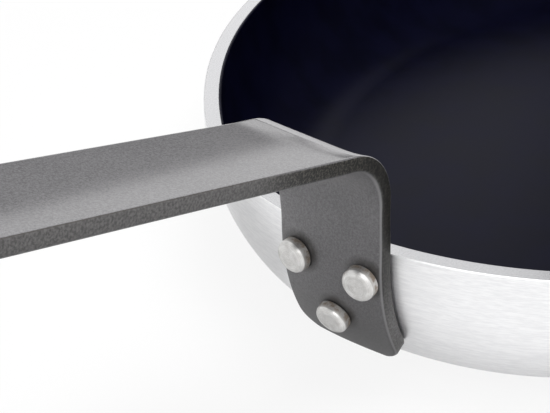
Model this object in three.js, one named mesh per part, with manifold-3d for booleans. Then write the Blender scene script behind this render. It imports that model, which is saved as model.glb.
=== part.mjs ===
// Oval fish pan: a heavy pressed aluminium body with a non-stick lining, and a handle bent from flat
// steel strip that solid rivets hold to one narrow end. Millimetres, +Z up. The origin is the centre
// of the flat underside, and the handle runs out along +X.
import * as THREE from 'three';
import { mergeVertices } from 'three/addons/utils/BufferGeometryUtils.js';
import Module from 'manifold-3d';

const wasm = await Module();
wasm.setup();
const degrees = Math.PI / 180;

// Pan body, one thickness of metal all over
const panLength = 400; // over the rim, along the handle
const panWidth = 280; // over the rim, across the handle
const panHeight = 45;
const endRadius = 94.5; // rim's outer edge round each narrow end
const bodyThickness = 4.5;
const rimSlope = 1 * degrees; // lean of the wall from upright at the rim
const cornerSlope = 34 * degrees; // lean of the wall where the corner to the base begins
const cornerRadius = 34; // outside of that corner
const rimChamfer = 0.4; // broken outer edge of the machined rim

// Non-stick lining, a skin just inside the body
const liningThickness = 0.4;
const liningClearance = 0.3;

// Handle strip: a seat that follows the pan's wall, a rise, one bend, and the grip
const stripWidth = 30.5;
const stripThickness = 3.7; // with its coat
const stripEdge = 0.4; // bevel along the strip's edges
const seatClearance = 0.3; // between the wall and the seat
const seatDrop = 32.5; // seat below the rim, measured down the wall
const seatCornerLeft = 9.5; // rounding of the seat's lower corners, left and right as seen from the grip
const seatCornerRight = 5;
const plateRise = 14.1; // straight stretch from the rim up to the bend
const bendRadius = 14.3; // inside of the bend
const bendCurl = 1.3; // how far bending lifts the strip's right edge on the outside of the bend
const bendTwist = 3.3 * degrees; // lean of the bend across the strip, its right side lower
const gripSlope = 13 * degrees; // climb of the grip from level
const gripLength = 150; // straight stretch of the grip
const tailRadius = 420; // slow curve that brings the grip's tail down
const tailTurn = 8 * degrees;
const tailFlat = 6; // straight end left between the tail's rounded corners
const hangingSlotWidth = 10;
const hangingSlotLength = 22; // from end to end
const hangingSlotInset = 9; // from the tail's end to the slot

// Rivets: two side by side near the rim and one below them
const shankRadius = 2.8;
const shankClearance = 0.3; // between a shank and its holes
const headClearance = 0.35; // under each head
const outerHeadRadius = 4.4;
const outerHeadHeight = 3;
const outerHeadBevel = 0.6;
const innerHeadRadius = 4;
const innerHeadHeight = 1.6;
const upperRivetDrop = 5.7; // below the rim, measured down the wall
const upperRivetSpacing = 18.8;
const lowerRivetDrop = 20.6;

// Facets
const endSteps = 20;
const sideSteps = 28;
const wallSteps = 4;
const cornerSteps = 6;
const roundSteps = 6;
const bendSteps = 10;
const stripSteps = 10;
const turnSteps = 24;

// The outer wall is an arc that leans more and more, and the corner is a second arc that runs on from it.
// The wall's radius follows from the height that is left above the corner.
const halfLength = panLength / 2;
const halfWidth = panWidth / 2;
const wallHeight = panHeight - cornerRadius * (1 - Math.sin(cornerSlope));
const wallRadius = wallHeight / (Math.sin(cornerSlope) - Math.sin(rimSlope));
const wallRun = wallRadius * (cornerSlope - rimSlope);
const wallCentre = { inset: wallRadius * Math.cos(rimSlope), z: panHeight + wallRadius * Math.sin(rimSlope) };
const cornerCentre = {
  inset: wallCentre.inset - (wallRadius - cornerRadius) * Math.cos(cornerSlope),
  z: cornerRadius,
};

// A point of the wall's section where it leans by slope, on the face that lies offset inside the outer one
function sectionPoint(slope, offset) {
  const inCorner = slope > cornerSlope;
  const centre = inCorner ? cornerCentre : wallCentre;
  const radius = (inCorner ? cornerRadius : wallRadius) - offset;
  return { inset: centre.inset - radius * Math.cos(slope), z: centre.z - radius * Math.sin(slope) };
}

// Lean of the wall at a distance down it from the rim
function slopeAt(run) {
  return run < wallRun ? rimSlope + run / wallRadius : cornerSlope + (run - wallRun) / cornerRadius;
}

// The section of one face from a height near the rim down to the flat
function facePoints(offset, top) {
  const topSlope = Math.asin((wallCentre.z - top) / (wallRadius - offset));
  const wall = evenSteps(topSlope, cornerSlope, wallSteps);
  const corner = evenSteps(cornerSlope, Math.PI / 2, cornerSteps).slice(1);
  return [...wall, ...corner].map((slope) => sectionPoint(slope, offset));
}

function evenSteps(from, to, count) {
  return Array.from({ length: count + 1 }, (_, step) => from + ((to - from) * step) / count);
}

// The oval is four arcs that run into each other: one round each narrow end and one along each side
const endCentre = halfLength - endRadius;
const sideRadius = (endCentre ** 2 + halfWidth ** 2 - endRadius ** 2) / (2 * (halfWidth - endRadius));
const sideCentre = sideRadius - halfWidth;
const joinAngle = Math.atan2(sideCentre, endCentre);
const ovalArcs = [
  { x: endCentre, y: 0, radius: endRadius, from: -joinAngle, to: joinAngle, steps: endSteps },
  { x: 0, y: -sideCentre, radius: sideRadius, from: joinAngle, to: Math.PI - joinAngle, steps: sideSteps },
  { x: -endCentre, y: 0, radius: endRadius, from: Math.PI - joinAngle, to: Math.PI + joinAngle, steps: endSteps },
  { x: 0, y: sideCentre, radius: sideRadius, from: Math.PI + joinAngle, to: 2 * Math.PI - joinAngle, steps: sideSteps },
];

function ovalRing({ inset, z }) {
  return ovalArcs.flatMap(({ x, y, radius, from, to, steps }) =>
    evenSteps(from, to, steps).slice(1).map((angle) => new THREE.Vector3(
      x + (radius - inset) * Math.cos(angle),
      y + (radius - inset) * Math.sin(angle),
      z,
    )));
}

// Closed skin through rings that have the same number of points, with a fan of faces over each end
function loft(rings) {
  const size = rings[0].length;
  const points = rings.flat();
  const triangles = [];
  for (let ring = 0; ring + 1 < rings.length; ring += 1) {
    for (let side = 0; side < size; side += 1) {
      const next = (side + 1) % size;
      const low = ring * size;
      const high = low + size;
      triangles.push(low + side, low + next, high + next, low + side, high + next, high + side);
    }
  }
  const last = (rings.length - 1) * size;
  const first = points.length;
  points.push(middle(rings[0]), middle(rings[rings.length - 1]));
  for (let side = 0; side < size; side += 1) {
    const next = (side + 1) % size;
    triangles.push(first, next, side, first + 1, last + side, last + next);
  }
  const geometry = new THREE.BufferGeometry().setFromPoints(points);
  geometry.setIndex(triangles);
  return geometry;
}

function middle(ring) {
  return ring.reduce((sum, point) => sum.add(point), new THREE.Vector3()).divideScalar(ring.length);
}

function toSolid(geometry) {
  const bare = geometry.clone();
  bare.deleteAttribute('normal');
  bare.deleteAttribute('uv');
  const merged = mergeVertices(bare);
  return new wasm.Manifold(new wasm.Mesh({
    numProp: 3,
    vertProperties: new Float32Array(merged.attributes.position.array),
    triVerts: new Uint32Array(merged.index.array),
  }));
}

function toGeometry(solid) {
  const mesh = solid.getMesh();
  const geometry = new THREE.BufferGeometry();
  geometry.setAttribute('position', new THREE.BufferAttribute(mesh.vertProperties, 3));
  geometry.setIndex(new THREE.BufferAttribute(mesh.triVerts, 1));
  return geometry;
}

function cutAll(solid, cutters) {
  return cutters.reduce((rest, cutter) => rest.subtract(cutter), solid);
}

// Where a rivet goes through the wall: the outer face's point and the direction straight out of it
function wallPlace(across, run) {
  const slope = slopeAt(run);
  const { inset, z } = sectionPoint(slope, 0);
  const radius = endRadius - inset;
  const angle = Math.asin(across / radius);
  const out = new THREE.Vector3(
    Math.cos(slope) * Math.cos(angle),
    Math.cos(slope) * Math.sin(angle),
    -Math.sin(slope),
  );
  const point = new THREE.Vector3(endCentre + radius * Math.cos(angle), radius * Math.sin(angle), z);
  const turn = new THREE.Quaternion().setFromUnitVectors(new THREE.Vector3(0, 1, 0), out);
  return new THREE.Matrix4().compose(point, turn, new THREE.Vector3(1, 1, 1));
}

const rivetPlaces = [
  { name: 'rivet_upper_left', matrix: wallPlace(-upperRivetSpacing / 2, upperRivetDrop) },
  { name: 'rivet_upper_right', matrix: wallPlace(upperRivetSpacing / 2, upperRivetDrop) },
  { name: 'rivet_lower', matrix: wallPlace(0, lowerRivetDrop) },
];

// What a rivet clamps, measured out from the wall's outer face
const innerGrip = -(bodyThickness + liningClearance + liningThickness + headClearance);
const outerGrip = seatClearance + stripThickness + headClearance;
const drillReach = outerGrip - innerGrip;
const rivetHoles = rivetPlaces.map(({ matrix }) => {
  const drill = new THREE.CylinderGeometry(
    shankRadius + shankClearance, shankRadius + shankClearance, 2 * drillReach, turnSteps,
  );
  return toSolid(drill.applyMatrix4(matrix));
});

function panBody() {
  const outside = facePoints(0, panHeight - rimChamfer).reverse();
  const rim = { inset: rimChamfer, z: panHeight };
  const inside = facePoints(bodyThickness, panHeight);
  const blank = loft([...outside, rim, ...inside].map(ovalRing));
  return toGeometry(cutAll(toSolid(blank), rivetHoles));
}

function lining() {
  const back = bodyThickness + liningClearance;
  const outside = facePoints(back, panHeight).reverse();
  const inside = facePoints(back + liningThickness, panHeight);
  const skin = loft([...outside, ...inside].map(ovalRing));
  return toGeometry(cutAll(toSolid(skin), rivetHoles));
}

// The strip's path lies in the middle plane and follows its inner face, which becomes the grip's top.
// Travel starts at the seat's lower end.
const rimAngle = Math.PI / 2 - rimSlope;
const bendOuter = bendRadius + stripThickness;
const bendTurn = rimAngle - gripSlope;
const riseStart = seatDrop;
const bendStart = riseStart + plateRise;
const gripStart = bendStart + bendOuter * bendTurn;
const tailStart = gripStart + gripLength;
const tailEnd = tailStart + tailRadius * tailTurn;

function wallStation(travel) {
  const slope = slopeAt(seatDrop - travel);
  const { inset, z } = sectionPoint(slope, -seatClearance);
  return { x: halfLength - inset, z, angle: Math.PI / 2 - slope, hug: 1, wallRadius: endRadius - inset };
}

// Straight on by a distance, or round an arc that turns down by an angle
function onward(station, distance, turn) {
  const share = turn === 0 ? 1 : Math.sin(turn / 2) / (turn / 2);
  const heading = station.angle - turn / 2;
  return {
    ...station,
    x: station.x + distance * share * Math.cos(heading),
    z: station.z + distance * share * Math.sin(heading),
    angle: station.angle - turn,
    hug: 0,
  };
}

const rimStation = wallStation(riseStart);
const bendStation = onward(rimStation, plateRise, 0);
const gripStation = onward(bendStation, bendOuter * bendTurn, bendTurn);
const tailStation = onward(gripStation, gripLength, 0);

function stationAt(travel) {
  if (travel <= riseStart) {
    return wallStation(travel);
  }
  if (travel <= bendStart) {
    const rise = travel - riseStart;
    const share = rise / plateRise;
    return { ...onward(rimStation, rise, 0), hug: 1 - share * share * (3 - 2 * share) };
  }
  if (travel <= gripStart) {
    return onward(bendStation, travel - bendStart, (travel - bendStart) / bendOuter);
  }
  if (travel <= tailStart) {
    return onward(gripStation, travel - gripStart, 0);
  }
  return onward(tailStation, travel - tailStart, (travel - tailStart) / tailRadius);
}

// Distance from the strip's middle to one edge, drawn in round the corners of both ends
const tailCorner = (stripWidth - tailFlat) / 2;

function edgeAt(travel, seatCorner) {
  const drawnIn = (corner, distance) =>
    distance < corner ? corner - Math.sqrt(corner ** 2 - (corner - distance) ** 2) : 0;
  return stripWidth / 2 - drawnIn(seatCorner, travel) - drawnIn(tailCorner, tailEnd - travel);
}

// How much bending has distorted the strip at a place: wholly at the bend's middle, and not at all past
// one bend's length from it
function bentAt(travel) {
  const bendMiddle = (bendStart + gripStart) / 2;
  const share = Math.min(1, Math.abs(travel - bendMiddle) / (gripStart - bendStart));
  return (1 + Math.cos(Math.PI * share)) / 2;
}

// Across the seat the strip is dished to the wall's curve
function stripRing(travel) {
  const station = stationAt(travel);
  const right = edgeAt(travel, seatCornerRight);
  const left = -edgeAt(travel, seatCornerLeft);
  const bent = bentAt(travel);
  const across = evenSteps(right - stripEdge, left + stripEdge, stripSteps);
  const top = across.map((y) => [y, 0]);
  const underside = across.map((y) => [y, stripThickness]).reverse();
  const section = [
    ...top, [left, stripEdge], [left, stripThickness - stripEdge],
    ...underside, [right, stripThickness - stripEdge], [right, stripEdge],
  ];
  return section.map(([y, depth]) => {
    const sag = station.wallRadius - Math.sqrt(station.wallRadius ** 2 - y ** 2);
    const lift = bendCurl * Math.max(0, 2 * y / stripWidth) ** 6 - y * Math.tan(bendTwist);
    const down = depth - bent * lift;
    return new THREE.Vector3(
      station.x + down * Math.sin(station.angle) - station.hug * sag,
      y,
      station.z - down * Math.cos(station.angle),
    );
  });
}

function hangingSlot() {
  const radius = hangingSlotWidth / 2;
  const reach = hangingSlotLength / 2 - radius;
  const outline = new THREE.Shape();
  outline.absarc(reach, 0, radius, -Math.PI / 2, Math.PI / 2, false);
  outline.absarc(-reach, 0, radius, Math.PI / 2, 1.5 * Math.PI, false);
  const cutter = new THREE.ExtrudeGeometry(outline, {
    depth: 4 * stripThickness, bevelEnabled: false, curveSegments: turnSteps / 2,
  });
  const station = stationAt(tailEnd - hangingSlotInset - hangingSlotLength / 2);
  cutter.translate(0, 0, -2 * stripThickness);
  cutter.rotateY(-station.angle);
  cutter.translate(station.x, 0, station.z);
  return toSolid(cutter);
}

function handle() {
  const roundOff = (corner) => evenSteps(0, Math.PI / 2, roundSteps).map((turn) => corner * (1 - Math.cos(turn)));
  const stops = [
    ...[...roundOff(seatCornerRight), ...roundOff(seatCornerLeft)].sort((a, b) => a - b).slice(1),
    ...evenSteps(Math.max(seatCornerLeft, seatCornerRight), riseStart, wallSteps).slice(1),
    ...evenSteps(riseStart, bendStart, wallSteps).slice(1),
    ...evenSteps(bendStart, gripStart, bendSteps).slice(1),
    ...evenSteps(gripStart, tailStart, wallSteps + 2).slice(1),
    ...evenSteps(tailStart, tailEnd - tailCorner, wallSteps).slice(1),
    ...roundOff(tailCorner).map((distance) => tailEnd - distance).reverse().slice(1),
  ];
  const strip = toSolid(loft(stops.map(stripRing)));
  return toGeometry(cutAll(strip, [...rivetHoles, hangingSlot()]));
}

// A solid rivet along +Y: a low domed head inside the pan, the shank, and a flat head outside with its
// edge bevelled by the setting tool
function rivet() {
  const domeRadius = (innerHeadRadius ** 2 + innerHeadHeight ** 2) / (2 * innerHeadHeight);
  const domeReach = Math.asin(innerHeadRadius / domeRadius);
  const domeCentre = innerGrip - innerHeadHeight + domeRadius;
  const dome = evenSteps(0, domeReach, roundSteps).map((angle) => new THREE.Vector2(
    domeRadius * Math.sin(angle),
    domeCentre - domeRadius * Math.cos(angle),
  ));
  const top = outerGrip + outerHeadHeight;
  const profile = [
    ...dome,
    new THREE.Vector2(shankRadius, innerGrip),
    new THREE.Vector2(shankRadius, outerGrip),
    new THREE.Vector2(outerHeadRadius, outerGrip),
    new THREE.Vector2(outerHeadRadius, top - outerHeadBevel),
    new THREE.Vector2(outerHeadRadius - outerHeadBevel, top),
    new THREE.Vector2(0, top),
  ];
  return new THREE.LatheGeometry(profile, turnSteps);
}

const finishes = {
  aluminium: { color: 0xd8d9db, roughness: 0.35, metalness: 1 },
  nonstick: { color: 0x12131b, roughness: 0.5, metalness: 0 },
  steel: { color: 0x77767a, roughness: 0.6, metalness: 0.6 },
  rivets: { color: 0xc4c1bb, roughness: 0.4, metalness: 1 },
};

function piece(name, geometry, finish) {
  const mesh = new THREE.Mesh(geometry, new THREE.MeshStandardMaterial(finishes[finish]));
  mesh.name = name;
  return mesh;
}

const pan = new THREE.Group();
pan.add(piece('pan_body', panBody(), 'aluminium'));
pan.add(piece('nonstick_lining', lining(), 'nonstick'));
pan.add(piece('handle', handle(), 'steel'));
for (const { name, matrix } of rivetPlaces) {
  const mesh = piece(name, rivet(), 'rivets');
  mesh.applyMatrix4(matrix);
  pan.add(mesh);
}

export default pan;
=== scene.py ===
import math

import bmesh
import bpy
from mathutils import Matrix, Vector


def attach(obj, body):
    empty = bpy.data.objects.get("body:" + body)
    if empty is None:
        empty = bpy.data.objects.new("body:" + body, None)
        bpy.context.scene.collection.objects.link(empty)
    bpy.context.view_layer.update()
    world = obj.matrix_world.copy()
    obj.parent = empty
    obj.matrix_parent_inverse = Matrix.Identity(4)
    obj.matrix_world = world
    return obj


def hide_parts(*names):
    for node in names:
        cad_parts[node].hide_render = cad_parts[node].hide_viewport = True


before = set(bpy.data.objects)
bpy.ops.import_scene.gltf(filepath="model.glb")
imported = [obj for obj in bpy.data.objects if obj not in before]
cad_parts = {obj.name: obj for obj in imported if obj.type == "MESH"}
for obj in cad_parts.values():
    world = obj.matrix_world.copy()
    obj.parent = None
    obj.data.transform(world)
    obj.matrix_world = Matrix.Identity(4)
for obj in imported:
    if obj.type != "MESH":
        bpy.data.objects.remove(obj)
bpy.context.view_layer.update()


# The studio: a pale floor and a white surround, soft lamps, boards that show only in glossy faces, and the
# camera where the photographer stood, low over the grip and looking down across the pan.
class Shade:
    """One socket among a material's nodes. Arithmetic on it adds Math nodes."""

    def __init__(self, tree, socket=None):
        self.tree = tree
        self.socket = socket

    def node(self, kind, inputs=None, output=0, **settings):
        """Adds a node of any type: its settings first, then values or links for its sockets."""
        added = self.tree.nodes.new("ShaderNode" + kind)
        for name, value in settings.items():
            setattr(added, name, value)
        for name, value in (inputs or {}).items():
            if isinstance(value, Shade):
                self.tree.links.new(value.socket, added.inputs[name])
            else:
                added.inputs[name].default_value = value
        return Shade(self.tree, added.outputs[output] if added.outputs else None)

    def math(self, operation, *values):
        return self.node("Math", dict(enumerate(values)), operation=operation)

    def __add__(self, other):
        return self.math("ADD", self, other)

    def __radd__(self, other):
        return self.math("ADD", other, self)

    def __sub__(self, other):
        return self.math("SUBTRACT", self, other)

    def __rsub__(self, other):
        return self.math("SUBTRACT", other, self)

    def __mul__(self, other):
        return self.math("MULTIPLY", self, other)

    def __rmul__(self, other):
        return self.math("MULTIPLY", other, self)

    def between(self, low, high):
        """0 at low, 1 at high, with a smooth rise from one to the other."""
        return self.node(
            "MapRange", {"Value": self, "From Min": low, "From Max": high}, interpolation_type="SMOOTHSTEP"
        )

    def blend(self, first, second):
        """The first colour where this is 0, the second where it is 1."""
        return self.node("Mix", {0: self, 6: first, 7: second}, output=2, data_type="RGBA")

    def stretched(self, x, y, z):
        return self.node("VectorMath", {0: self, 1: (x, y, z)}, operation="MULTIPLY")

    def distance(self, place):
        return self.node("VectorMath", {0: self, 1: place}, output="Value", operation="DISTANCE")

    def axis(self, name):
        return self.node("SeparateXYZ", {0: self}, output=name)

    def noise(self, scale, detail, roughness):
        return self.node(
            "TexNoise", {"Vector": self, "Scale": scale, "Detail": detail, "Roughness": roughness}
        )


def new_finish(name):
    """An empty material, and what nodes are added to it with."""
    material = bpy.data.materials.new(name)
    material.use_nodes = True
    material.node_tree.nodes.clear()
    return material, Shade(material.node_tree)


def shown_to_eye(shade, in_gloss):
    """1 for what the camera sees, another share for what it sees in a gloss, and 0 for soft light."""
    camera, glossy, through = (
        shade.node("LightPath", output=ray)
        for ray in ("Is Camera Ray", "Is Glossy Ray", "Is Transmission Ray")
    )
    return camera.math("MAXIMUM", camera.math("MAXIMUM", camera, through), glossy * in_gloss)


bpy.context.scene.view_settings.view_transform = "Standard"

eye_lens = 90.70
eye_place = (0.43344, 0.17042, 0.20753)
eye_heading = 219.11
eye_drop = 28.15
eye_roll = -0.09
eye = bpy.data.objects.new("eye", bpy.data.cameras.new("eye"))
eye.data.sensor_width = 36
eye.data.sensor_fit = "HORIZONTAL"
eye.data.lens = eye_lens
eye.matrix_world = (
    Matrix.Translation(eye_place)
    @ Matrix.Rotation(math.radians(eye_heading - 90), 4, "Z")
    @ Matrix.Rotation(math.radians(90 - eye_drop), 4, "X")
    @ Matrix.Rotation(math.radians(-eye_roll), 4, "Z")
)
bpy.context.scene.collection.objects.link(eye)
bpy.context.scene.camera = eye

white = (1, 1, 1, 1)
surround = bpy.data.worlds.new("surround")
surround.use_nodes = True
surround.node_tree.nodes.clear()
bpy.context.scene.world = surround
sky = Shade(surround.node_tree)
sky_light = 0.42
sky_strength = sky_light + (1 - sky_light) * shown_to_eye(sky, 1)
sky_face = sky.node("Background", {"Color": white, "Strength": sky_strength})
sky.node("OutputWorld", {"Surface": sky_face})

floor_half = 14.0
floor_gap = 0.0004
floor_mesh = bpy.data.meshes.new("floor")
floor_mesh.from_pydata(
    [(x * floor_half, y * floor_half, -floor_gap) for x, y in ((-1, -1), (1, -1), (1, 1), (-1, 1))],
    [], [(0, 1, 2, 3)],
)
floor = bpy.data.objects.new("floor", floor_mesh)
bpy.context.scene.collection.objects.link(floor)
paper_finish, paper = new_finish("floor_paper")
paper_white = 0.85
paper_in_gloss = 0.4
paper_seen = (0.82, 0.82, 0.82, 1)
paper_in_soft_light = (0.12, 0.12, 0.12, 1)
paper_face = paper.node("MixShader", {
    0: paper_white * shown_to_eye(paper, paper_in_gloss),
    1: paper.node("BsdfDiffuse", {"Color": shown_to_eye(paper, 1).blend(paper_in_soft_light, paper_seen)}),
    2: paper.node("Emission", {"Color": white, "Strength": 1.0}),
})
paper.node("OutputMaterial", {"Surface": paper_face})
floor_mesh.materials.append(paper_finish)


def softbox(name, place, target, side, watts):
    """A square lamp that lights the pan and isn't seen itself."""
    lamp = bpy.data.objects.new(name, bpy.data.lights.new(name, "AREA"))
    lamp.data.shape = "SQUARE"
    lamp.data.size = side
    lamp.data.energy = watts
    toward = Vector(target) - Vector(place)
    lamp.matrix_world = Matrix.Translation(place) @ toward.to_track_quat("-Z", "Y").to_matrix().to_4x4()
    lamp.visible_camera = False
    bpy.context.scene.collection.objects.link(lamp)
    return lamp


lamp_above = softbox("lamp_above", place=(0, 0.4, 2.2), target=(0.1, 0, 0), side=1.4, watts=33)
softbox("lamp_by_eye", place=(0.9, 0.5, 1.1), target=(0.2, 0, 0.04), side=1.5, watts=10.5)
lamp_on_floor = softbox(
    "lamp_on_floor", place=(0.36, -0.2, 0.003), target=(0.36, -0.2, 1), side=0.3, watts=0.8
)
lamp_above.visible_glossy = False
lamp_on_floor.visible_glossy = False


def board(name, corners, brightness):
    """A board beside the pan that is seen only in glossy surfaces."""
    finish, paint = new_finish(name)
    paint.node("OutputMaterial", {"Surface": paint.node("Emission", {"Strength": brightness})})
    mesh = bpy.data.meshes.new(name)
    mesh.from_pydata(corners, [], [(0, 1, 2, 3)])
    mesh.materials.append(finish)
    piece = bpy.data.objects.new(name, mesh)
    piece.visible_camera = False
    piece.visible_diffuse = False
    piece.visible_shadow = False
    bpy.context.scene.collection.objects.link(piece)


def rectangle(left, right, low, high):
    return (left, low), (right, low), (right, high), (left, high)


seam_depth = -1.083
seam_height = 0.597
seam_climb = 0.27
screen_depth = -0.9
sheet_height = 0.001


def along_grip(low, high):
    """Corners of an upright board beside the pan, between heights over a seam that climbs like the grip."""
    return [
        (x, seam_depth, seam_height + x * seam_climb + rise) for x, rise in rectangle(-2.6, 0.4, low, high)
    ]


board("dark_board", along_grip(-0.12, 0), 0.18)
board("bright_board", along_grip(0, 0.5), 1.15)
board("dark_screen", [(screen_depth, y, z) for y, z in rectangle(-0.45, 1, 0, 1.2)], 0.12)
board("grey_sheet", [(x, y, sheet_height) for x, y in rectangle(0.168, 0.215, -0.3, -0.04)], 0.6)


# Pan body: one heavy aluminium sheet pressed into an oval with walls that lean out to the rim. Outside it
# is brushed round and round, the rim is machined flat, and the underside is ground flat.
mm = 0.001
pan_half_length = 200
pan_half_width = 140
pan_height = 45
end_radius = 94.5
metal = 4.5
rim_slope = math.radians(1)
corner_slope = math.radians(34)
corner_radius = 34
rim_edge_outer = 0.45
rim_edge_inner = 0.15
rim_margin = 0.15
bump_depth = 0.2 * mm

wall_radius = (pan_height - corner_radius * (1 - math.sin(corner_slope))) / (
    math.sin(corner_slope) - math.sin(rim_slope)
)
wall_run = wall_radius * (corner_slope - rim_slope)
wall_centre = (wall_radius * math.cos(rim_slope), pan_height + wall_radius * math.sin(rim_slope))
corner_centre = (wall_centre[0] - (wall_radius - corner_radius) * math.cos(corner_slope), corner_radius)
end_centre = pan_half_length - end_radius
side_radius = (end_centre**2 + pan_half_width**2 - end_radius**2) / (2 * (pan_half_width - end_radius))
side_centre = side_radius - pan_half_width
join_angle = math.atan2(side_centre, end_centre)
wall_steps = 22
corner_steps = 18
end_steps = 80
side_steps = 112


def even_steps(start, stop, count):
    return [start + (stop - start) * step / count for step in range(count + 1)]


def section_point(slope, offset):
    """A point of the wall's section where it leans by slope, on the face offset inside the outer one."""
    centre, radius = (corner_centre, corner_radius) if slope > corner_slope else (wall_centre, wall_radius)
    reach = radius - offset
    return centre[0] - reach * math.cos(slope), centre[1] - reach * math.sin(slope)


def face_points(offset, top):
    """The section of one face from a height near the rim down to the flat."""
    top_slope = math.asin((wall_centre[1] - top) / (wall_radius - offset))
    wall_slopes = even_steps(top_slope, corner_slope, wall_steps)
    corner_slopes = even_steps(corner_slope, math.pi / 2, corner_steps)[1:]
    return [section_point(slope, offset) for slope in wall_slopes + corner_slopes]


def oval_ring(inset, height):
    """The rim's oval of four arcs, drawn in by inset, at a height."""
    arcs = (
        (end_centre, 0, end_radius, -join_angle, join_angle, end_steps),
        (0, -side_centre, side_radius, join_angle, math.pi - join_angle, side_steps),
        (-end_centre, 0, end_radius, math.pi - join_angle, math.pi + join_angle, end_steps),
        (0, side_centre, side_radius, math.pi + join_angle, 2 * math.pi - join_angle, side_steps),
    )
    return [
        (x + (radius - inset) * math.cos(angle), y + (radius - inset) * math.sin(angle), height)
        for x, y, radius, start, stop, steps in arcs
        for angle in even_steps(start, stop, steps)[1:]
    ]


def rounded(centre, radius, start, stop, steps):
    """Points round an arc, from one angle in degrees to another."""
    return [
        (centre[0] + radius * math.cos(math.radians(turn)), centre[1] + radius * math.sin(math.radians(turn)))
        for turn in even_steps(start, stop, steps)
    ]


def skin(name, rings, finish):
    """A closed piece through rings of points in millimetres."""
    size = len(rings[0])
    faces = [
        (low + side, low + (side + 1) % size, low + size + (side + 1) % size, low + size + side)
        for low in range(0, (len(rings) - 1) * size, size)
        for side in range(size)
    ]
    last = (len(rings) - 1) * size
    faces += [tuple(range(size - 1, -1, -1)), tuple(range(last, last + size))]
    mesh = bpy.data.meshes.new(name)
    mesh.from_pydata([Vector(point) * mm for ring in rings for point in ring], [], faces)
    built = bmesh.new()
    built.from_mesh(mesh)
    bmesh.ops.recalc_face_normals(built, faces=built.faces)
    built.to_mesh(mesh)
    built.free()
    mesh.materials.append(finish)
    piece = bpy.data.objects.new(name, mesh)
    bpy.context.scene.collection.objects.link(piece)
    return piece


brushed_finish, brushed = new_finish("brushed_aluminium")
where = brushed.node("TexCoord", output="Object")
on_base = where.axis("Z").between(1.2 * mm, 0.4 * mm)
on_rim = brushed.node("TexCoord", output="Normal").axis("Z").between(0.9, 0.98)
wall_grain = where.stretched(420, 420, 4200).noise(1.0, 3.0, 0.6)
wall_strokes = where.stretched(140, 140, 1400).noise(1.0, 2.0, 0.5)
base_grain = where.stretched(30, 2200, 1).noise(1.0, 3.0, 0.6)
rim_grain = where.noise(2600.0, 2.0, 0.5)
cloud = where.noise(38.0, 3.0, 0.5)
grain = wall_grain * (1 - on_base) + base_grain * on_base
brushed_shine = brushed.node("Bump", {
    "Strength": 0.08, "Distance": bump_depth, "Height": grain * 0.7 + wall_strokes * 0.3,
})
wall_colour = (grain * 0.6 + wall_strokes * 0.4).between(0.36, 0.64).blend(
    (0.81, 0.81, 0.822, 1), (0.91, 0.91, 0.917, 1)
)
rim_colour = rim_grain.between(0.3, 0.7).blend((0.59, 0.59, 0.605, 1), (0.67, 0.67, 0.685, 1))
brushed_face = brushed.node("BsdfPrincipled", {
    "Base Color": on_rim.blend(wall_colour, rim_colour),
    "Metallic": 1.0,
    "Roughness": (0.26 + 0.1 * cloud + 0.12 * grain) * (1 - 0.45 * on_rim),
    "Normal": brushed_shine,
})
brushed.node("OutputMaterial", {"Surface": brushed_face})

outer_edge = rounded((rim_edge_outer, pan_height - rim_edge_outer), rim_edge_outer, 180, 90, 5)
inner_edge = rounded((metal - rim_edge_inner, pan_height - rim_edge_inner), rim_edge_inner, 90, 0, 3)
pan_section = (
    face_points(0, pan_height - rim_edge_outer - rim_margin)[::-1]
    + outer_edge
    + [(rim_edge_outer + rim_margin, pan_height), (metal - rim_edge_inner - rim_margin, pan_height)]
    + inner_edge
    + face_points(metal, pan_height - rim_edge_inner - rim_margin)
)
pan = skin("pan", [oval_ring(inset, height) for inset, height in pan_section], brushed_finish)
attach(pan, "root")
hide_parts("pan_body")


# Non-stick coating: a thin blue-black film sprayed over the whole inside and baked on. The rim was
# machined after it, so it ends square at the rim's inner edge.
coating_front = 5.2
coating_front_edge = 0.3
coating_back = 4.52
coating_back_edge = 0.02
coating_back_drop = 0.1
coating_top = 44.97
coating_finish, coated = new_finish("nonstick_coating")
where = coated.node("TexCoord", output="Object")
mottle = where.noise(60.0, 4.0, 0.55)
peel = where.noise(1500.0, 2.0, 0.5)
coating_face = coated.node("BsdfPrincipled", {
    "Base Color": mottle.between(0.35, 0.65).blend((0.0006, 0.0007, 0.004, 1), (0.0012, 0.0013, 0.007, 1)),
    "Roughness": 0.3 + 0.06 * mottle + 0.04 * peel,
    "Specular IOR Level": 0.07,
    "Specular Tint": (0.4, 0.42, 1, 1),
    "Normal": coated.node("Bump", {"Strength": 0.06, "Distance": bump_depth, "Height": peel}),
})
coated.node("OutputMaterial", {"Surface": coating_face})
coating_section = (
    face_points(coating_back, coating_top - coating_back_drop)[::-1]
    + [(coating_back + coating_back_edge, coating_top), (coating_front - coating_front_edge, coating_top)]
    + face_points(coating_front, coating_top - coating_front_edge)
)
coating = skin("coating", [oval_ring(inset, height) for inset, height in coating_section], coating_finish)
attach(coating, "root")
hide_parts("nonstick_lining")


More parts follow.
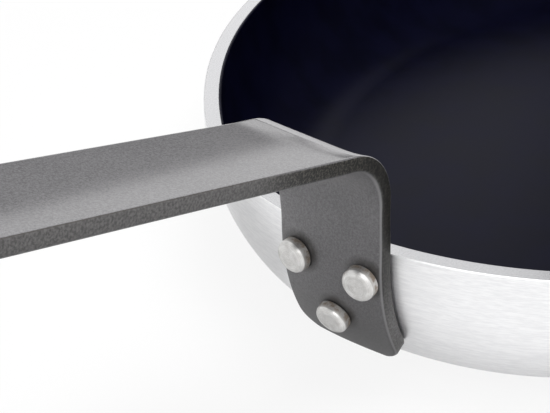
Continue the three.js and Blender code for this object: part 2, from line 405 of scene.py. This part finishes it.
# Handle: one length of flat steel strip with a grey speckled powder coat, rubbed bare at the bend's side.
# Its lower end is pressed to the pan's round wall, less closely on the right, and it rises past the rim,
# bends once and runs out as the grip to a slotted round tail. Painted shadows darken the coat beside the
# rivets, painted shade darkens it towards the plate's lower end, and painted highlights lighten the bend's
# crest and, along with wear, the plate's right edge.
strip_width = 30.5
strip_thickness = 3.95
strip_edge_inner = 0.45
strip_edge_outer = 1.0
seat_clearance = 0.3
seat_hug_left = 0.95
seat_hug_right = 0.55
seat_drop = 33.4
seat_corner_left = 6.4
seat_corner_right = 5.6
plate_rise = 14.1
bend_outer = 18
bend_curl = 1.3
bend_curl_power = 6
bend_spread = 0.7
bend_twist = math.radians(3.3)
grip_slope = math.radians(13)
grip_length = 150
tail_radius = 420
tail_turn = math.radians(8)
tail_corner = 12
slot_radius = 5
slot_reach = 6
slot_inset = 9
slot_edge = 0.4
slot_flare = 1.0
slot_overrun = 0.6

bend_turn = math.pi / 2 - rim_slope - grip_slope
bend_start = seat_drop + plate_rise
grip_start = bend_start + bend_outer * bend_turn
tail_start = grip_start + grip_length
tail_end = tail_start + tail_radius * tail_turn


def slope_at(run):
    """Lean of the wall at a distance down it from the rim."""
    if run < wall_run:
        return rim_slope + run / wall_radius
    return corner_slope + (run - wall_run) / corner_radius


def onward(station, distance, turn):
    """Straight on by a distance, or round an arc that turns down by an angle."""
    x, z, angle, radius = station
    share = math.sin(turn / 2) / (turn / 2) if turn else 1
    return (
        x + distance * share * math.cos(angle - turn / 2),
        z + distance * share * math.sin(angle - turn / 2),
        angle - turn,
        radius,
    )


def seat_station(travel):
    """On the seat: how far out and up its middle is, its rise from level, and the wall's radius there."""
    slope = slope_at(seat_drop - travel)
    inset, height = section_point(slope, -seat_clearance)
    return pan_half_length - inset, height, math.pi / 2 - slope, end_radius - inset


rim_station = seat_station(seat_drop)
bend_station = onward(rim_station, plate_rise, 0)
bend_centre = (
    bend_station[0] + bend_outer * math.sin(bend_station[2]),
    bend_station[1] - bend_outer * math.cos(bend_station[2]),
)
grip_station = onward(bend_station, bend_outer * bend_turn, bend_turn)
tail_station = onward(grip_station, grip_length, 0)


def strip_station(travel):
    """Where the strip's inner face is after some travel from its lower end, and how far it hugs the wall."""
    if travel <= seat_drop:
        return seat_station(travel), 1
    if travel <= bend_start:
        share = (travel - seat_drop) / plate_rise
        return onward(rim_station, travel - seat_drop, 0), 1 - share * share * (3 - 2 * share)
    if travel <= grip_start:
        return onward(bend_station, travel - bend_start, (travel - bend_start) / bend_outer), 0
    if travel <= tail_start:
        return onward(grip_station, travel - grip_start, 0), 0
    return onward(tail_station, travel - tail_start, (travel - tail_start) / tail_radius), 0


def drawn_in(corner, distance):
    """How far a round corner takes an edge in, at a distance from the end."""
    return corner - math.sqrt(corner**2 - (corner - distance) ** 2) if distance < corner else 0


def seat_hug(sideways):
    """How closely the seat follows the wall's round, on either side of its middle."""
    return seat_hug_right if sideways > 0 else seat_hug_left


def strip_section(left, right, top, bottom):
    """The strip's section with its edges rounded, more on the outer face than on the inner one."""
    edge_share = 0.98
    edge_step = 0.3
    inner_margin, outer_margin, across_steps = 1.6, 1.8, 12
    inner, outer = strip_edge_inner * edge_share, strip_edge_outer * edge_share
    inner_across = (
        [right - inner, right - inner - edge_step]
        + even_steps(right - inner_margin, left + inner_margin, across_steps)
        + [left + inner + edge_step, left + inner]
    )
    outer_across = (
        [left + outer, left + outer + edge_step]
        + even_steps(left + outer_margin, right - outer_margin, across_steps)
        + [right - outer - edge_step, right - outer]
    )
    return (
        [(y, top) for y in inner_across]
        + rounded((left + inner, top + inner), inner, 270, 180, 5)[1:]
        + rounded((left + outer, bottom - outer), outer, 180, 90, 6)[:-1]
        + [(y, bottom) for y in outer_across]
        + rounded((right - outer, bottom - outer), outer, 90, 0, 6)[1:]
        + rounded((right - inner, top + inner), inner, 360, 270, 5)[:-1]
    )


def strip_ring(travel):
    """The strip's section in its place, with the twist and the lifted right edge that bending left."""
    (x, z, angle, radius), hug = strip_station(travel)
    shrink = drawn_in(strip_edge_inner, travel) + drawn_in(strip_edge_inner, tail_end - travel)
    tail = drawn_in(tail_corner, tail_end - travel)
    right = strip_width / 2 - drawn_in(seat_corner_right, travel) - tail - shrink
    left = -strip_width / 2 + drawn_in(seat_corner_left, travel) + tail + shrink
    from_bend = abs(travel - (bend_start + grip_start) / 2)
    bend_share = min(1, from_bend / (bend_spread * (grip_start - bend_start)))
    bent = (1 + math.cos(math.pi * bend_share)) / 2
    ring = []
    for y, depth in strip_section(left, right, shrink, strip_thickness - shrink):
        sag = radius - math.sqrt(radius**2 - y**2)
        curl = bend_curl * max(0, 2 * y / strip_width) ** bend_curl_power
        down = depth - bent * (curl - y * math.tan(bend_twist))
        ring.append((x + down * math.sin(angle) - hug * seat_hug(y) * sag, y, z - down * math.cos(angle)))
    return ring


def wall_place(sideways, run, turn):
    """A rivet's place: its middle over the wall's outer face, and its axis straight out of the seat."""
    slope = slope_at(run)
    inset, height = section_point(slope, 0)
    reach = (end_radius - inset) / seat_hug(sideways)
    angle = math.asin(sideways / reach)
    out = Vector((math.cos(slope) * math.cos(angle), math.cos(slope) * math.sin(angle), -math.sin(slope)))
    set_back = reach * (1 - math.cos(angle))
    middle = Vector((pan_half_length - inset - set_back, sideways, height)) * mm
    upright = Vector((0, 0, 1)).rotation_difference(out).to_matrix().to_4x4()
    return Matrix.Translation(middle) @ upright @ Matrix.Rotation(turn, 4, "Z")


rivet_places = {
    "rivet_upper_left": wall_place(-9, 5.8, 0.4),
    "rivet_upper_right": wall_place(9.9, 6.2, 2.3),
    "rivet_lower": wall_place(0, 20.6, 4.1),
}

powder_finish, powder = new_finish("grey_powder_coat")
where = powder.node("TexCoord", output="Object")
facing = powder.node("TexCoord", output="Normal")
face_x, face_y, face_z = (facing.axis(name) for name in "XYZ")
on_side = powder.math("ABSOLUTE", face_y).between(0.75, 0.95)
on_top = face_z.between(0.6, 0.9)
speckle = where.noise(3600.0, 2.0, 0.6)
fleck = where.noise(1700.0, 2.0, 0.5)
drift = where.noise(60.0, 3.0, 0.5)
shear = where.stretched(1300, 1300, 180).noise(1.0, 3.0, 0.65)

clean_colour = (speckle * 0.5 + fleck * 0.4 + drift * 0.1).between(0.36, 0.64).blend(
    (0.112, 0.109, 0.114, 1), (0.196, 0.192, 0.2, 1)
)
# Painted shade: the coat is darkened towards the plate's lower end, where less light falls on it.
lower_shade_colour = (0.06, 0.058, 0.06, 1)
lower_shade_top = 38
lower_shade_full = 10
painted_lower_shade = where.axis("Z").between(lower_shade_top * mm, lower_shade_full * mm)
# Painted shadows: the coat is darkened in a patch beside each rivet head, shifted a little up and to the
# right, standing in for the heads' cast shadows.
rivet_shadow_colour = (0.02, 0.019, 0.018, 1)
rivet_shadow_reach = 6.6
rivet_shadow_full = 4.4
rivet_shadow_shift = Vector((0, 0.8, 0.9)) * mm
seat_front = Vector((0, 0, seat_clearance + strip_thickness)) * mm
painted_rivet_shadow = sum(
    where.distance(place @ seat_front + rivet_shadow_shift).between(rivet_shadow_reach * mm, rivet_shadow_full * mm)
    for place in rivet_places.values()
)
face_colour = (painted_rivet_shadow * 0.65).blend((painted_lower_shade * 0.62).blend(clean_colour, lower_shade_colour), rivet_shadow_colour)

pale_wear_and_highlight_colour = (0.37, 0.366, 0.375, 1)
rubbed_colour = (0.06, 0.052, 0.044, 1)
bare_reach = 42
bare_full = 22
at_bend = where.stretched(1, 0, 1).distance((bend_centre[0] * mm, 0, bend_centre[1] * mm)).between(
    bare_reach * mm, bare_full * mm
)
# The plate's rounded right edge is lightened in colour: partly worn coat, partly a painted highlight.
worn_and_highlit_edge = face_x.between(0.1, 0.6) * face_y.between(0.3, 0.7) * face_y.between(0.97, 0.85)
# Painted highlight: the bend's crest, picked by the way it faces, is given a pale colour; it is also made
# rougher.
highlit_crest = face_x.between(-0.227, -0.275) * face_x.between(-0.8, -0.65)
rubbed = face_y.between(0.35, 0.6) * face_z.between(0.2, 0.45) * (1 - at_bend)
top_colour = (rubbed * 0.7).blend((worn_and_highlit_edge * 0.7 + highlit_crest).blend(face_colour, pale_wear_and_highlight_colour), rubbed_colour)

coated_side_colour = (fleck * 0.7 + speckle * 0.2 + shear * 0.1).between(0.36, 0.64).blend(
    (0.078, 0.075, 0.075, 1), (0.19, 0.185, 0.185, 1)
)
bare_colour = (fleck * 0.5 + speckle * 0.3 + shear * 0.2).between(0.46, 0.6).blend(
    (0.001, 0.001, 0.0008, 1), (0.1, 0.094, 0.082, 1)
)
dark_colour = (0.002, 0.002, 0.002, 1)
dark_run = 14
dark_side = where.axis("X").between(bend_centre[0] * mm, (bend_centre[0] - dark_run) * mm)
side_colour = at_bend.blend(coated_side_colour, (dark_side * 0.6).blend(bare_colour, dark_colour))

powder_face = powder.node("BsdfPrincipled", {
    "Base Color": on_side.blend(top_colour, side_colour),
    "Roughness": 0.38 - 0.335 * on_top + 0.03 * speckle + 0.4 * highlit_crest + 0.1 * on_side,
    "Normal": powder.node("Bump", {
        "Strength": 0.1, "Distance": bump_depth, "Height": speckle * 0.05 + on_side * shear,
    }),
})
powder.node("OutputMaterial", {"Surface": powder_face})


def corner_stops(corner, turns):
    """Distances from an end at which rings follow a round corner, by the angles turned."""
    return [corner * (1 - math.cos(math.radians(turn))) for turn in turns]


end_round = corner_stops(strip_edge_inner, (0, 22, 45, 68, 90))
seat_round = corner_stops(seat_corner_left, range(20, 91, 5))
tail_round = corner_stops(tail_corner, range(20, 91, 5))
stops = (
    end_round
    + seat_round
    + even_steps(seat_corner_left, seat_drop, 18)[1:]
    + even_steps(seat_drop, bend_start, 12)[1:]
    + even_steps(bend_start, grip_start, 36)[1:]
    + even_steps(grip_start, tail_start, 30)[1:]
    + even_steps(tail_start, tail_end - tail_corner, 14)[1:]
    + [tail_end - distance for distance in tail_round + end_round]
)
strip = skin("strip_handle", [strip_ring(stop) for stop in sorted(set(stops))], powder_finish)
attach(strip, "root")
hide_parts("handle")

(slot_x, slot_z, slot_angle, _), _ = strip_station(tail_end - slot_inset - slot_radius - slot_reach)
slot_depths = (
    (-slot_overrun, slot_flare),
    (slot_edge, 0),
    (strip_thickness - slot_edge, 0),
    (strip_thickness + slot_overrun, slot_flare),
)
slot_steps = 21
slot_rings = []
for depth, flare in slot_depths:
    outline = rounded((slot_reach, 0), slot_radius + flare, -90, 90, slot_steps)
    outline += rounded((-slot_reach, 0), slot_radius + flare, 90, 270, slot_steps)
    slot_rings.append([
        (
            slot_x + along * math.cos(slot_angle) + depth * math.sin(slot_angle),
            y,
            slot_z + along * math.sin(slot_angle) - depth * math.cos(slot_angle),
        )
        for along, y in outline
    ])
slot_cutter = skin("slot_cutter", slot_rings, powder_finish)


# Rivets: three solid aluminium rivets set through strip, wall and coating. The head outside is a turned
# flat disc with a rounded shoulder, dulled brown round its flank, and the one inside is a low dome.
shank_radius = 2.8
shank_clearance = 0.3
head_clearance = 0.02
head_radius = 4.4
head_shoulder = 1.5
head_bevel = 0.25
head_top = 7.6
groove_radius = 2.35
groove_half = 0.15
groove_depth = 0.05
middle_radius = 0.3
inner_head_radius = 4
inner_head_height = 1.6
inner_seat = -5.55
outer_seat = seat_clearance + strip_thickness + head_clearance
turn_steps = 64
drill_half = 12

rivet_finish, dulled = new_finish("turned_aluminium")
where = dulled.node("TexCoord", output="Object")
from_axis = where.stretched(1, 1, 0).distance((0, 0, 0))
turned = dulled.node(
    "TexNoise", {"W": from_axis * 9000.0, "Scale": 1.0, "Detail": 1.0}, noise_dimensions="1D"
)
stain = where.noise(520.0, 4.0, 0.6)
flank_start = 3.5
flank_full = 4.2
flank_top = head_top - 0.9
flank_low = head_top - 2.2
on_flank = from_axis.between(flank_start * mm, flank_full * mm) * where.axis("Z").between(
    flank_top * mm, flank_low * mm
)
tarnish = on_flank * stain.between(0.38, 0.6)
tarnish_colour = (0.24, 0.18, 0.13, 1)
head_marks = turned * 0.5 + stain * 0.5
head_colour = head_marks.between(0.35, 0.65).blend((0.52, 0.51, 0.495, 1), (0.77, 0.765, 0.755, 1))
rivet_face = dulled.node("BsdfPrincipled", {
    "Base Color": (tarnish * 0.8).blend(head_colour, tarnish_colour),
    "Metallic": 1.0,
    "Roughness": 0.36 + 0.12 * stain + 0.2 * tarnish,
    "Normal": dulled.node("Bump", {"Strength": 0.25, "Distance": bump_depth, "Height": head_marks}),
})
dulled.node("OutputMaterial", {"Surface": rivet_face})

dome_radius = (inner_head_radius**2 + inner_head_height**2) / (2 * inner_head_height)
dome_centre = inner_seat - inner_head_height + dome_radius
dome_reach = math.degrees(math.asin(inner_head_radius / dome_radius))
shoulder_centre = (head_radius - head_shoulder, head_top - head_shoulder)
rivet_section = (
    rounded((0, dome_centre), dome_radius, -88, dome_reach - 90, 14)
    + [(shank_radius, inner_seat), (shank_radius, outer_seat)]
    + [(head_radius - head_bevel, outer_seat), (head_radius, outer_seat + head_bevel)]
    + rounded(shoulder_centre, head_shoulder, 0, 90, 10)
    + [(groove_radius + groove_half, head_top), (groove_radius, head_top - groove_depth)]
    + [(groove_radius - groove_half, head_top), (middle_radius, head_top)]
)
drill_radius = shank_radius + shank_clearance
drill_section = [(drill_radius, -drill_half), (drill_radius, drill_half)]


def round_rings(section):
    return [
        [
            (reach * math.cos(turn), reach * math.sin(turn), height)
            for turn in even_steps(0, 2 * math.pi, turn_steps)[:-1]
        ]
        for reach, height in section
    ]


def smoothed(piece):
    """Shades a piece smooth but for its sharp edges."""
    sharp = math.radians(38)
    piece.data.shade_smooth()
    piece.data.set_sharp_from_angle(angle=sharp)


drills = []
for node, place in rivet_places.items():
    rivet = skin("turned_" + node, round_rings(rivet_section), rivet_finish)
    rivet.matrix_world = place
    smoothed(rivet)
    drill = skin("drill_" + node, round_rings(drill_section), rivet_finish)
    drill.matrix_world = place
    drills.append(drill)
    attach(rivet, "root")
    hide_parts(node)


# Holes: the rivets' holes are drilled through pan, coating and strip together, and the hanging slot is
# punched in the strip's tail.
def cut(piece, cutters):
    """Takes the cutters' shapes out of a piece."""
    for cutter in cutters:
        hole = piece.modifiers.new("hole", "BOOLEAN")
        hole.operation = "DIFFERENCE"
        hole.solver = "EXACT"
        hole.object = cutter
    bpy.context.view_layer.update()
    whole = piece.data
    piece.data = bpy.data.meshes.new_from_object(piece.evaluated_get(bpy.context.evaluated_depsgraph_get()))
    piece.data.name = whole.name
    piece.modifiers.clear()
    bpy.data.meshes.remove(whole)
    smoothed(piece)


cut(pan, drills)
cut(coating, drills)
cut(strip, drills + [slot_cutter])
for tool in drills + [slot_cutter]:
    bpy.data.objects.remove(tool)
